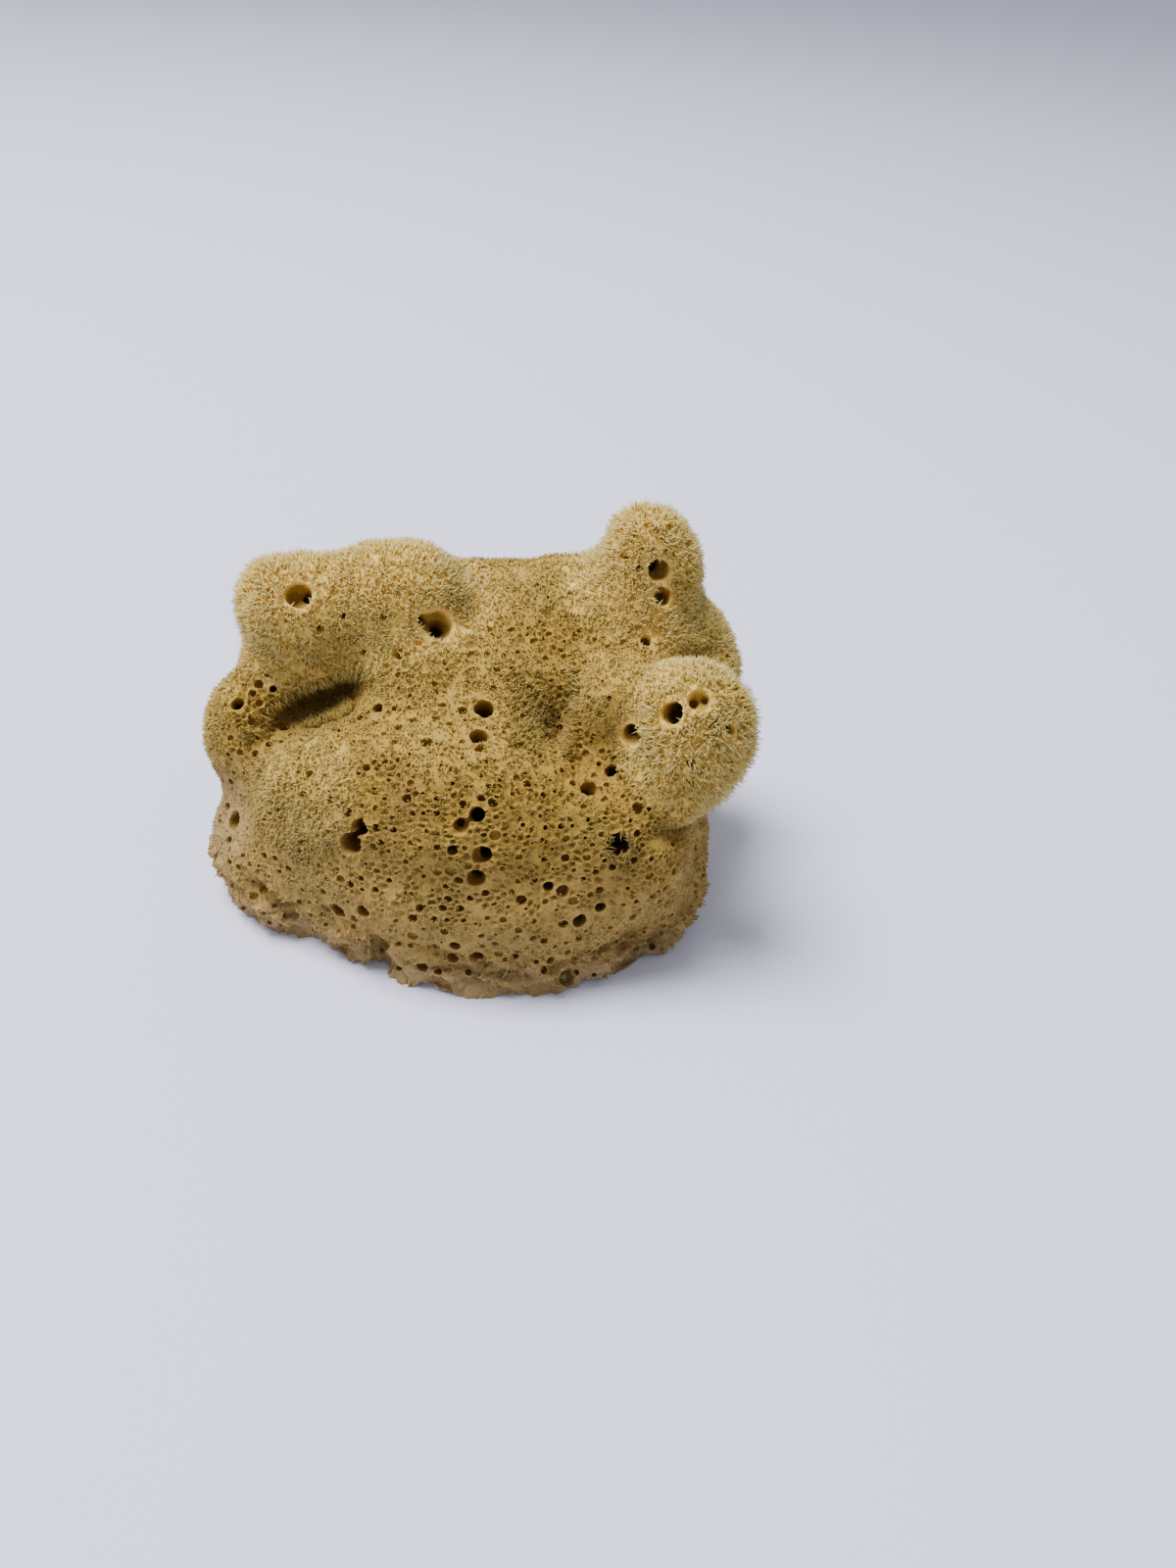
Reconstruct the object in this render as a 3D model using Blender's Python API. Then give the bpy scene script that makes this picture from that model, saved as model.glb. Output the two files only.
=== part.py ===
"""A natural sea sponge, dried, lying on the flat cut where it was taken off its rock.

The sponge grew as one piece, so it is one solid. Its body is a cluster of rounded lobes grown together.
Wide round mouths, the oscula, open on the lobes, and smaller pores pit the skin between them.
Metres, +Z up. X runs to the right, Y runs away from the side that is seen, and Z = 0 is the cut base.
"""

import math
import random

import bmesh
import bpy
from mathutils import Matrix, Vector
from mathutils.bvhtree import BVHTree

# Grain of the body: the voxels that weld the lobes, and the smoothing that rounds their creases.
VOXEL = 0.0020
CREASE_SMOOTHING = 14
HOLLOW_SMOOTHING = 5
BODY_TRIANGLES = 4700

# Unevenness of the skin: low swells a finger wide all over, and a ragged rim along the cut.
SWELL_SIZE = 0.016
SWELL_HEIGHT = 0.0036
RAGGED_SIZE = 0.007
RAGGED_HEIGHT = 0.0050
RAGGED_UP_TO = 0.014

# The lobes, each an ellipsoid: its centre, then its half sizes across, deep and high.
LOBES = {
    "heart": ((-0.002, 0.012, 0.030), (0.064, 0.046, 0.040)),
    "front_belly": ((-0.004, -0.012, 0.040), (0.044, 0.026, 0.026)),
    "front_slope": ((0.002, -0.016, 0.022), (0.054, 0.027, 0.025)),
    "front_skirt": ((0.003, -0.008, 0.008), (0.055, 0.036, 0.024)),
    "front_cheek": ((-0.039, -0.006, 0.032), (0.024, 0.020, 0.025)),
    "left_skirt": ((-0.048, 0.004, 0.012), (0.031, 0.034, 0.024)),
    "left_shoulder": ((-0.067, 0.013, 0.042), (0.014, 0.018, 0.019)),
    "left_foot": ((-0.067, 0.006, 0.014), (0.013, 0.020, 0.014)),
    "left_waist": ((-0.057, 0.026, 0.054), (0.016, 0.016, 0.018)),
    "crown_left": ((-0.053, 0.026, 0.076), (0.018, 0.018, 0.016)),
    "crown_middle": ((-0.027, 0.032, 0.077), (0.020, 0.020, 0.019)),
    "crown_front": ((-0.016, 0.018, 0.059), (0.021, 0.021, 0.018)),
    "crown_back": ((-0.006, 0.048, 0.066), (0.024, 0.019, 0.018)),
    "centre_rise": ((0.004, 0.026, 0.056), (0.034, 0.024, 0.022)),
    "saddle": ((0.018, 0.044, 0.072), (0.021, 0.016, 0.018)),
    "horn_slope": ((0.024, 0.034, 0.070), (0.024, 0.020, 0.019)),
    "right_horn": ((0.041, 0.038, 0.091), (0.015, 0.016, 0.019)),
    "right_horn_root": ((0.039, 0.034, 0.066), (0.021, 0.024, 0.028)),
    "right_flank": ((0.053, 0.038, 0.055), (0.018, 0.022, 0.028)),
    "right_lobe": ((0.055, -0.005, 0.067), (0.016, 0.017, 0.021)),
    "right_ridge": ((0.038, 0.004, 0.070), (0.018, 0.014, 0.012)),
    "right_body": ((0.038, -0.010, 0.034), (0.024, 0.025, 0.026)),
    "right_skirt": ((0.044, 0.012, 0.016), (0.024, 0.030, 0.028)),
    "right_foot": ((0.048, -0.002, 0.010), (0.020, 0.026, 0.016)),
    "back_left": ((-0.032, 0.044, 0.032), (0.034, 0.026, 0.036)),
    "back_right": ((0.026, 0.046, 0.029), (0.036, 0.024, 0.034)),
}

# Hollows between the lobes and notches in the rim: where each starts and ends, and its half width.
HOLLOWS = {
    "shoulder_groove": ((-0.056, 0.001, 0.053), (-0.036, 0.003, 0.066), 0.0072),
    "ridge_dimple": ((0.019, -0.002, 0.068), (0.019, 0.006, 0.076), 0.0065),
    "rim_notch_front": ((-0.023, -0.042, -0.004), (-0.023, -0.040, 0.008), 0.0045),
    "rim_notch_right": ((0.052, -0.026, -0.004), (0.050, -0.024, 0.006), 0.0040),
}

# The oscula: a point by the middle of each mouth, then its width and its depth.
OSCULA = {
    "crown_left_eye": ((-0.050, 0.015, 0.087), 0.0072, 0.009),
    "crown_middle_eye": ((-0.013, 0.017, 0.080), 0.0084, 0.014),
    "centre_upper": ((0.001, -0.001, 0.068), 0.0060, 0.014),
    "centre_lower": ((0.001, -0.010, 0.065), 0.0060, 0.014),
    "horn_upper": ((0.044, 0.024, 0.097), 0.0062, 0.011),
    "horn_lower": ((0.046, 0.022, 0.091), 0.0060, 0.009),
    "horn_foot": ((0.042, 0.015, 0.082), 0.0034, 0.006),
    "right_lobe_dark": ((0.048, -0.014, 0.079), 0.0055, 0.013),
    "right_lobe_pale": ((0.055, -0.014, 0.084), 0.0056, 0.008),
    "right_lobe_edge": ((0.039, -0.010, 0.068), 0.0054, 0.010),
    "right_chain_middle": ((0.035, -0.013, 0.059), 0.0038, 0.011),
    "right_chain_low": ((0.030, -0.018, 0.057), 0.0046, 0.008),
    "right_lobe_side": ((0.064, -0.016, 0.076), 0.0042, 0.007),
    "belly_top": ((0.003, -0.032, 0.056), 0.0056, 0.013),
    "belly_top_shelf": ((-0.001, -0.034, 0.052), 0.0050, 0.007),
    "belly_middle": ((0.005, -0.037, 0.046), 0.0062, 0.014),
    "belly_middle_low": ((0.004, -0.038, 0.040), 0.0054, 0.009),
    "belly_middle_left": ((-0.002, -0.037, 0.048), 0.0036, 0.006),
    "cheek_upper": ((-0.027, -0.032, 0.048), 0.0042, 0.010),
    "cheek_lower": ((-0.030, -0.033, 0.042), 0.0062, 0.014),
    "skirt_left_dark": ((-0.034, -0.036, 0.020), 0.0054, 0.010),
    "skirt_left_pale": ((-0.026, -0.038, 0.024), 0.0044, 0.005),
    "spiky_pit": ((0.039, -0.030, 0.048), 0.0072, 0.010),
    "skirt_right_low": ((0.031, -0.037, 0.027), 0.0044, 0.010),
    "skirt_right_high": ((0.036, -0.035, 0.030), 0.0036, 0.008),
    "rim_middle": ((0.005, -0.043, 0.015), 0.0052, 0.010),
    "rim_middle_left": ((-0.001, -0.043, 0.019), 0.0034, 0.006),
    "shoulder_left": ((-0.067, 0.006, 0.056), 0.0042, 0.006),
    "shoulder_upper": ((-0.063, 0.012, 0.060), 0.0034, 0.005),
    "groove_end": ((-0.028, -0.001, 0.065), 0.0036, 0.005),
    "foot_left": ((-0.069, -0.009, 0.028), 0.0060, 0.006),
    "horn_top": ((0.040, 0.046, 0.108), 0.0060, 0.011),
    "crown_top": ((-0.031, 0.040, 0.095), 0.0064, 0.012),
    "crown_left_back": ((-0.062, 0.040, 0.078), 0.0050, 0.010),
    "saddle_back": ((0.010, 0.062, 0.074), 0.0062, 0.012),
    "back_left_high": ((-0.042, 0.070, 0.054), 0.0072, 0.014),
    "back_left_low": ((-0.050, 0.064, 0.030), 0.0052, 0.010),
    "back_middle": ((-0.012, 0.072, 0.046), 0.0060, 0.012),
    "back_middle_low": ((-0.006, 0.070, 0.036), 0.0046, 0.009),
    "back_right_high": ((0.026, 0.070, 0.050), 0.0076, 0.014),
    "back_right_low": ((0.042, 0.066, 0.028), 0.0050, 0.010),
    "flank_back": ((0.060, 0.056, 0.062), 0.0058, 0.011),
    "flank_right": ((0.072, 0.024, 0.046), 0.0056, 0.011),
    "lobe_right_outer": ((0.072, -0.002, 0.060), 0.0050, 0.009),
    "side_left": ((-0.080, 0.020, 0.042), 0.0056, 0.010),
    "side_left_low": ((-0.078, 0.026, 0.020), 0.0046, 0.008),
}
OSCULUM_SIDES = 9

# The middling pores, scattered over the skin. The small ones are left to the fine surface.
PORES = 62
PORE_WIDTH = (0.0022, 0.0032)
PORE_DEPTH = 0.0040
PORE_SIDES = 6
PORE_GAP = 0.0030
PORE_SEED = 7
LOWEST_PORE = 0.006

# How far a cutter stands out of the skin, and how a well narrows: share of its depth, share of its width.
CUTTER_PROUD = 0.0030
WELL_PROFILE = ((0.6, 0.84), (1.0, 0.45))
PORE_PROFILE = ((1.0, 0.5),)


def clear_scene():
    for old in list(bpy.data.objects):
        bpy.data.objects.remove(old)


def new_object(name, shape):
    """Makes the bmesh an object of the scene and frees the bmesh."""
    mesh = bpy.data.meshes.new(name)
    shape.to_mesh(mesh)
    shape.free()
    made = bpy.data.objects.new(name, mesh)
    bpy.context.scene.collection.objects.link(made)
    return made


def as_cutter(cutter):
    cutter.hide_render = True
    cutter.display_type = "WIRE"
    return cutter


def add_ellipsoid(shape, centre, radii, along=(0, 0, 1), subdivisions=4):
    """Adds one ellipsoid to the bmesh. Its third half size lies along the direction that is given."""
    placed = Matrix.Translation(centre)
    placed = placed @ Vector(along).to_track_quat("Z", "X").to_matrix().to_4x4()
    placed = placed @ Matrix.Diagonal((*radii, 1.0))
    bmesh.ops.create_icosphere(shape, subdivisions=subdivisions, radius=1.0, matrix=placed)


def weld_by_voxels(body):
    remesh = body.modifiers.new("weld lobes", "REMESH")
    remesh.mode = "VOXEL"
    remesh.voxel_size = VOXEL


def smooth(body, times):
    rounding = body.modifiers.new("round creases", "SMOOTH")
    rounding.factor = 0.5
    rounding.iterations = times


def displace(body, name, size, height, group=""):
    """Raises and sinks the skin by a cloud pattern of this grain and height."""
    pattern = bpy.data.textures.new(name, "CLOUDS")
    pattern.noise_scale = size
    relief = body.modifiers.new(name, "DISPLACE")
    relief.texture = pattern
    relief.texture_coords = "LOCAL"
    relief.strength = height
    relief.mid_level = 0.5
    relief.vertex_group = group


def cut(body, cutter):
    difference = body.modifiers.new("cut " + cutter.name, "BOOLEAN")
    difference.operation = "DIFFERENCE"
    difference.object = cutter
    difference.solver = "EXACT"


def bake(body):
    """Replaces the mesh by what its modifiers make of it, and drops the modifiers."""
    graph = bpy.context.evaluated_depsgraph_get()
    mesh = bpy.data.meshes.new_from_object(body.evaluated_get(graph))
    body.modifiers.clear()
    body.data = mesh


def add_well(shape, mouth, outward, width, depth, sides, profile):
    """Adds a closed well to the bmesh: it opens at the mouth and narrows inwards along the profile."""
    placed = Matrix.Translation(mouth) @ outward.to_track_quat("Z", "X").to_matrix().to_4x4()
    levels = [(CUTTER_PROUD, 1.0)] + [(-share * depth, narrow) for share, narrow in profile]
    rings = []
    for height, narrow in levels:
        ring = []
        for side in range(sides):
            angle = math.tau * side / sides
            radius = width / 2 * narrow
            point = Vector((radius * math.cos(angle), radius * math.sin(angle), height))
            ring.append(shape.verts.new(placed @ point))
        rings.append(ring)
    for upper, lower in zip(rings, rings[1:]):
        for side in range(sides):
            after = (side + 1) % sides
            shape.faces.new((upper[side], lower[side], lower[after], upper[after]))
    shape.faces.new(rings[0])
    shape.faces.new(reversed(rings[-1]))


def make_body():
    """The lobes, welded, with their creases rounded and the hollows pressed in."""
    shape = bmesh.new()
    for centre, radii in LOBES.values():
        add_ellipsoid(shape, centre, radii)
    body = new_object("sponge", shape)
    weld_by_voxels(body)
    smooth(body, CREASE_SMOOTHING)
    for name, (start, end, half_width) in HOLLOWS.items():
        shape = bmesh.new()
        span = Vector(end) - Vector(start)
        middle = (Vector(start) + Vector(end)) / 2
        half_sizes = (half_width, half_width, half_width + span.length / 2)
        add_ellipsoid(shape, middle, half_sizes, span, subdivisions=3)
        cut(body, as_cutter(new_object(name, shape)))
    weld_by_voxels(body)
    smooth(body, HOLLOW_SMOOTHING)
    bake(body)
    return body


def roughen(body):
    """Gives the skin its swells and the rim its raggedness, then thins the mesh."""
    rim = body.vertex_groups.new(name="rim")
    for vertex in body.data.vertices:
        nearness = 1.0 - vertex.co.z / RAGGED_UP_TO
        rim.add([vertex.index], min(max(nearness, 0.0), 1.0), "REPLACE")
    displace(body, "swells", SWELL_SIZE, SWELL_HEIGHT)
    displace(body, "ragged rim", RAGGED_SIZE, RAGGED_HEIGHT, "rim")
    bake(body)
    thin = body.modifiers.new("thin", "DECIMATE")
    thin.ratio = BODY_TRIANGLES / (2 * len(body.data.polygons))
    bake(body)


def cut_base(body):
    """Cuts the body off flat at Z = 0, where the rock was."""
    shape = bmesh.new()
    bmesh.ops.create_cube(shape, size=0.4, matrix=Matrix.Translation((0, 0, -0.2)))
    cut(body, as_cutter(new_object("rock", shape)))
    bake(body)


def pore_places(body, taken):
    """Places for the pores, drawn at random over the skin, clear of what is taken and of each other."""
    draw = random.Random(PORE_SEED)
    faces = [face for face in body.data.polygons if face.center.z > LOWEST_PORE]
    areas = [face.area for face in faces]
    found = []
    while len(found) < PORES:
        face = draw.choices(faces, areas)[0]
        width = draw.uniform(*PORE_WIDTH)
        place = face.center.copy()
        room = [(place - other).length - (width + wide) / 2 for other, wide in taken]
        if min(room) < PORE_GAP:
            continue
        taken.append((place, width))
        found.append((place, face.normal.copy(), width))
    return found


def open_pores(body):
    """Cuts the oscula and the pores with one cutter. Some of its wells meet below the skin."""
    skin = BVHTree.FromObject(body, bpy.context.evaluated_depsgraph_get())
    taken = []
    shape = bmesh.new()
    for aim, width, depth in OSCULA.values():
        mouth, outward, _, _ = skin.find_nearest(aim)
        add_well(shape, mouth, outward, width, depth, OSCULUM_SIDES, WELL_PROFILE)
        taken.append((mouth, width))
    for place, outward, width in pore_places(body, taken):
        add_well(shape, place, outward, width, PORE_DEPTH, PORE_SIDES, PORE_PROFILE)
    bmesh.ops.triangulate(shape, faces=shape.faces[:])
    cut(body, as_cutter(new_object("wells", shape)))
    body.modifiers[-1].use_self = True
    body.modifiers.new("plain triangles", "TRIANGULATE")
    bake(body)


def centre_on_base(body):
    """Moves the mesh so that the origin is the middle of its outline, on the cut base."""
    across = [vertex.co.x for vertex in body.data.vertices]
    deep = [vertex.co.y for vertex in body.data.vertices]
    middle = Vector(((min(across) + max(across)) / 2, (min(deep) + max(deep)) / 2, 0.0))
    body.data.transform(Matrix.Translation(-middle))
    print("origin moved to", [round(part, 5) for part in middle])


def finish_skin(body):
    """The tan of dried sponge, quite dull."""
    tan = bpy.data.materials.new("dried_sponge")
    tan.use_nodes = True
    shader = tan.node_tree.nodes["Principled BSDF"]
    shader.inputs["Base Color"].default_value = (0.52, 0.38, 0.17, 1.0)
    shader.inputs["Roughness"].default_value = 0.95
    shader.inputs["Metallic"].default_value = 0.0
    body.data.materials.clear()
    body.data.materials.append(tan)


clear_scene()
sponge = make_body()
roughen(sponge)
cut_base(sponge)
open_pores(sponge)
centre_on_base(sponge)
finish_skin(sponge)
print("triangles", sum(len(face.vertices) - 2 for face in sponge.data.polygons))
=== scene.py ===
# %% [markdown]
# # A dried sea sponge
#
# A sea sponge is the skeleton of an animal: a felt of springy fibres, with round mouths that let the
# water out, and small pores that let it in. The fibres end in tufts, so from a step away the skin
# looks furred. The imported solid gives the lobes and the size. This script gives the skin, from large
# to fine: the form, its folds, its net of small cells, the ragged rim, the mouths, the pores and the
# tufts.

# %% The frame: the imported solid, which stays where it is
import math

import bpy
import numpy as np
from mathutils import Matrix, Vector, noise
from mathutils.bvhtree import BVHTree
from mathutils.kdtree import KDTree


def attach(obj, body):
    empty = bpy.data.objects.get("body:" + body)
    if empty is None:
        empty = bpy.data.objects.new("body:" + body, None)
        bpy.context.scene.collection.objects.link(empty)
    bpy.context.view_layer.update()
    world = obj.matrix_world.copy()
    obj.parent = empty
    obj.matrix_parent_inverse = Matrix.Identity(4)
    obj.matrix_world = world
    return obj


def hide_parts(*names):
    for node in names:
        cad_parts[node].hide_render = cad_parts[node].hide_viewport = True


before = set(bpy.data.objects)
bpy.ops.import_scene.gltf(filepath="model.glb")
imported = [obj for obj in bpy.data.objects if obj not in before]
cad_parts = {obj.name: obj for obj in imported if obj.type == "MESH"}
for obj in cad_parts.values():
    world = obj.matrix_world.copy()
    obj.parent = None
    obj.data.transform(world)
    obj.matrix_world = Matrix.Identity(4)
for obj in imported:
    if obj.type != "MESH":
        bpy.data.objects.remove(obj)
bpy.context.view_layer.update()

MM = 0.001

# %% [markdown]
# ## The camera
#
# The picture looks down on the sponge, with the camera held a little crooked. A camera with no
# rotation looks straight down, so it is rolled about its own view, and then pitched up. A lens of
# 27 mm on a 36 mm sensor is what a small camera has.

# %% The camera
LOOKS_DOWN = math.radians(38)
ROLL = math.radians(5)
NEAREST_SEEN = 0.01
CAMERA_PLACE = Vector((34.4, -266.6, 241.8)) * MM
LENS = 27
SENSOR = 36

bpy.ops.object.camera_add(location=CAMERA_PLACE)
camera = bpy.context.object
camera.rotation_euler = (
    Matrix.Rotation(math.pi / 2 - LOOKS_DOWN, 3, "X") @ Matrix.Rotation(ROLL, 3, "Z")
).to_euler()
camera.data.lens = LENS
camera.data.sensor_width = SENSOR
camera.data.clip_start = NEAREST_SEEN
bpy.context.scene.camera = camera

# %% [markdown]
# ## Working by hand, in code
#
# Blender's operators act on what is selected. These helpers do what a hand does with the mouse: pick
# one object, pick some of its faces, add a modifier and apply it.

# %% Picking things and applying modifiers
POINTS = ("vertices", (True, False, False))
FACES = ("polygons", (False, False, True))


def pick(piece):
    """Selects this object alone and makes it the active one."""
    bpy.ops.object.select_all(action="DESELECT")
    piece.select_set(True)
    bpy.context.view_layer.objects.active = piece


def pick_parts(piece, kind, chosen):
    """Opens edit mode with some points or faces selected, given by number or as true or false for each."""
    kind_name, select_mode = kind
    pick(piece)
    bpy.context.tool_settings.mesh_select_mode = select_mode
    bpy.ops.object.mode_set(mode="EDIT")
    bpy.ops.mesh.select_all(action="DESELECT")
    bpy.ops.object.mode_set(mode="OBJECT")
    parts = getattr(piece.data, kind_name)
    picked = np.zeros(len(parts), bool)
    picked[chosen] = True
    parts.foreach_set("select", picked)
    bpy.ops.object.mode_set(mode="EDIT")


def apply_modifier(piece, kind, **settings):
    """Adds a modifier with these settings and applies it at once."""
    pick(piece)
    modifier = piece.modifiers.new(kind.lower(), kind)
    for name, value in settings.items():
        setattr(modifier, name, value)
    bpy.ops.object.modifier_apply(modifier=modifier.name)


def remesh(piece, size, smoothings=0):
    """Gives a piece an even new mesh with faces of this size, and smooths it this many times."""
    apply_modifier(piece, "REMESH", mode="VOXEL", voxel_size=size)
    if smoothings:
        apply_modifier(piece, "SMOOTH", factor=0.5, iterations=smoothings)


def rows_of(parts, name):
    """The x, y and z of every part as an array with one row for each."""
    values = np.empty(len(parts) * 3, np.float32)
    parts.foreach_get(name, values)
    return values.reshape(-1, 3).astype(float)


def points_of(piece):
    return rows_of(piece.data.vertices, "co")


def normals_of(piece):
    """The outward direction at each vertex."""
    return rows_of(piece.data.vertex_normals, "vector")


def set_points(piece, places):
    piece.data.vertices.foreach_set("co", places.astype(np.float32).ravel())
    piece.data.update()


def add_attribute(piece, name, values):
    """Stores one number for each vertex, for the finish to read."""
    attribute = piece.data.attributes.new(name, "FLOAT", "POINT")
    attribute.data.foreach_set("value", np.asarray(values, np.float32))


def triangles_of(piece):
    return sum(len(face.vertices) - 2 for face in piece.data.polygons)


def smooth_step(value, low, high):
    """Runs from 0 at low to 1 at high, gently at both ends. Works on arrays."""
    share = np.clip((np.asarray(value) - low) / (high - low), 0, 1)
    return share * share * (3 - 2 * share)


# %% [markdown]
# ## The form under the skin
#
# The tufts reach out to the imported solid, so the skin they grow from lies a little inside it. The
# solid's own wells are coarse, and crisper ones are cut later, so they are closed first. A wide
# offset outwards, a voxel remesh and the same offset back close every narrow hole and leave the lobes
# alone. A second remesh gives the form an even mesh to work on.

# %% The form: the solid with its wells closed, set back from the tips of the tufts
CLOSING = 4.3 * MM
CLOSING_VOXEL = 1.6 * MM
SKIN_DEPTH = 1.3 * MM
FORM_VOXEL = 1.15 * MM
FOOT_HEIGHT = 2.2 * MM
SAME_PLACE = 0.01 * MM

pick(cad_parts["sponge"])
bpy.ops.object.duplicate()
form = bpy.context.object
form.name = "form"
bpy.ops.object.mode_set(mode="EDIT")
bpy.ops.mesh.select_all(action="SELECT")
bpy.ops.mesh.remove_doubles(threshold=SAME_PLACE)
bpy.ops.object.mode_set(mode="OBJECT")
remesh(form, CLOSING_VOXEL)
apply_modifier(form, "DISPLACE", strength=CLOSING, mid_level=0)
remesh(form, CLOSING_VOXEL, smoothings=2)
apply_modifier(form, "DISPLACE", strength=-CLOSING - SKIN_DEPTH, mid_level=0)
remesh(form, FORM_VOXEL, smoothings=3)


def set_on_floor(piece):
    """Brings the foot down onto the floor, where the offset lifted it off."""
    places = points_of(piece)
    places[places[:, 2] < FOOT_HEIGHT, 2] = 0.0
    set_points(piece, places)


set_on_floor(form)

# %% [markdown]
# ## The folds
#
# Folds run where lobes meet: a dark groove under the left crown, a dip beside the right ridge and a
# crease under the right lobe. Each has one steep side, which hangs over it, and one gentle side. They
# are pressed in as with a thumb in clay: points near a line move inwards, the press ends sooner on
# the steep side, and it fades out lengthways as a lens does. A new remesh evens out what was stretched.

# %% Pressing the folds in
# Both ends of the line, the way to the steep side and the way in, then, in millimetres, the depth and
# how far the press reaches on the steep and the gentle side, and how far tufts lean over the fold.
FOLDS = {
    "crown groove": ((-55, -12, 50.5), (-31, -2, 63.5), (-0.4, 0.2, 1), (0.1, 1, -0.2), 15, 3.8, 11, 0.7),
    "ridge dip": ((28, -6, 68), (28, -18, 62), (1, 0, 0.4), (0.1, 0.35, -1), 6.5, 4, 13, 0.7),
    "lobe crease": ((50, -33, 47), (63, -27, 45), (0, 0.2, 1), (-0.3, 1, -0.1), 5, 2.4, 5, 0),
    "left rim valley": ((-57, -35, 18.5), (-34, -42, 6), (0.2, 0, 1), (0.3, 1, 0.1), 4, 2.2, 5, 0),
    "front notch": ((-18, -51, 13), (-18.5, -50, 1), (1, 0, 0), (0.3, 1, 0), 6, 2.2, 3.2, 0),
    "front ledge": ((-6, -55, 10), (16, -56, 12), (0, 0, 1), (0, 1, 0.2), 3.2, 1.8, 4.5, 0),
    "right rim cave": ((47, -43, 5), (57, -38, 8), (0, 0, 1), (-0.5, 1, 0.2), 6, 2.2, 6, 0),
    "right rim valley": ((30, -52, 12), (62, -33, 17), (0, 0, 1), (-0.5, 1, 0), 2.6, 2.2, 5, 0),
    "left body valley": ((-14, -33, 61), (-12, -47, 46), (-1, 0, 0.3), (0.2, 1, -0.7), 2.4, 6, 8, 0),
}
FOLD_ENDS = 6
FOLD_LAYER = 9
FOLD_FLOOR = 0.2
FOLD_LAYER_FULL = 0.6


def fold_parts(places, fold):
    """How far each place lies towards the steep side of a fold, and how much the press moves it, 0 to 1."""
    start, end, steep_way, _, _, steep, gentle, _ = (np.array(part, float) for part in fold)
    length = np.linalg.norm(end - start)
    axis = (end - start) / length
    steep_way = steep_way - axis * (steep_way @ axis)
    steep_way /= np.linalg.norm(steep_way)
    spokes = places / MM - start
    along = spokes @ axis
    beyond = along - np.clip(along, 0, length)
    across = spokes @ steep_way
    layer = np.abs(spokes @ np.cross(axis, steep_way))
    lengthways = (along - length / 2) / (length / 2 + FOLD_ENDS)
    away = np.hypot(across / np.where(across > 0, steep, gentle), lengthways)
    share = 1 - smooth_step(away, FOLD_FLOOR, 1)
    share = share * (1 - smooth_step(layer, FOLD_LAYER * FOLD_LAYER_FULL, FOLD_LAYER))
    near = (np.abs(beyond) < FOLD_ENDS) & (layer < FOLD_LAYER)
    return across, share, near, steep_way


def press_folds(piece):
    places = points_of(piece)
    for fold in FOLDS.values():
        share = fold_parts(places, fold)[1]
        way_in = Vector(fold[3]).normalized()
        places += share[:, None] * np.array(way_in) * fold[4] * MM
    set_points(piece, places)


press_folds(form)
remesh(form, FORM_VOXEL, smoothings=2)
set_on_floor(form)
print("the form has", len(form.data.vertices), "points")
print("and is", [round(side / MM, 1) for side in form.dimensions], "mm")

# %% [markdown]
# ## Where the sponge is furred, porous or worn
#
# The skin isn't the same all over. The crowns and the right lobe are furred, the front is low and
# full of pores, and the rim of the cut is worn almost smooth. These fields say how much of each a
# place has, and everything that follows asks them. Places are in millimetres.

# %% The fields
FUR_LOW = 0.6
FUR = {
    "left crown": ((-48, 12, 80), 32, 2.1),
    "middle crown": ((-20, 18, 82), 32, 2.0),
    "saddle": ((22, 32, 78), 30, 1.0),
    "horn": ((47, 24, 94), 32, 2.4),
    "ridge": ((42, -8, 74), 22, 1.0),
    "upper front": ((0, -14, 66), 34, 0.95),
    "right lobe": ((64, -18, 66), 27, 3.0),
    "right flank": ((66, 30, 52), 34, 1.9),
    "groove lip": ((-38, -3, 72), 14, 1.8),
    "left shoulder": ((-66, 2, 46), 18, 1.1),
    "left body": ((-40, -32, 48), 24, 1.15),
    "left back": ((-34, 52, 46), 50, 1.5),
    "right back": ((34, 54, 42), 50, 1.5),
}
FRONT_STARTS = 4
FRONT_FULL = -12
FRONT_TOP = (58, 70)
WORN_TO = (5, 15)
WORN_LEFT = ((-70, -14, 20), 26, 0.8)
FUR_CORE = 0.55
WORN_CORE = 0.5


def fur_at(places):
    """How long the tufts are, in millimetres: the longest that any furred place asks for."""
    length = np.full(len(places), FUR_LOW)
    for centre, reach, full in FUR.values():
        away = np.linalg.norm(places / MM - np.array(centre), axis=1)
        share = 1 - smooth_step(away, reach * FUR_CORE, reach)
        length = np.maximum(length, FUR_LOW + (full - FUR_LOW) * share)
    return length


def front_at(places):
    """1 on the low, porous front and 0 elsewhere."""
    faces_out = 1 - smooth_step(places[:, 1] / MM, FRONT_FULL, FRONT_STARTS)
    return faces_out * (1 - smooth_step(places[:, 2] / MM, *FRONT_TOP))


def worn_at(places):
    """1 at the worn rim of the cut and on the low left side, and 0 elsewhere."""
    rim = 1 - smooth_step(places[:, 2] / MM, *WORN_TO)
    centre, reach, full = WORN_LEFT
    away = np.linalg.norm(places / MM - np.array(centre), axis=1)
    return np.maximum(rim, full * (1 - smooth_step(away, reach * WORN_CORE, reach)))


# %% [markdown]
# ## The net of cells
#
# Between its tufts a sponge's skin sinks into small cells, each about 2 mm across. A dual mesh turns
# every point into a face, so an uneven mesh of triangles becomes an uneven net of cells. The
# unevenness comes from the hand: the points are shaken, the mesh is thinned, and the cells are
# smoothed until they sit well together.

# %% The net
NET_SHAKE = 0.35 * MM
NET_TRIANGLES = 32000
NET_SEED = 3


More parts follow.
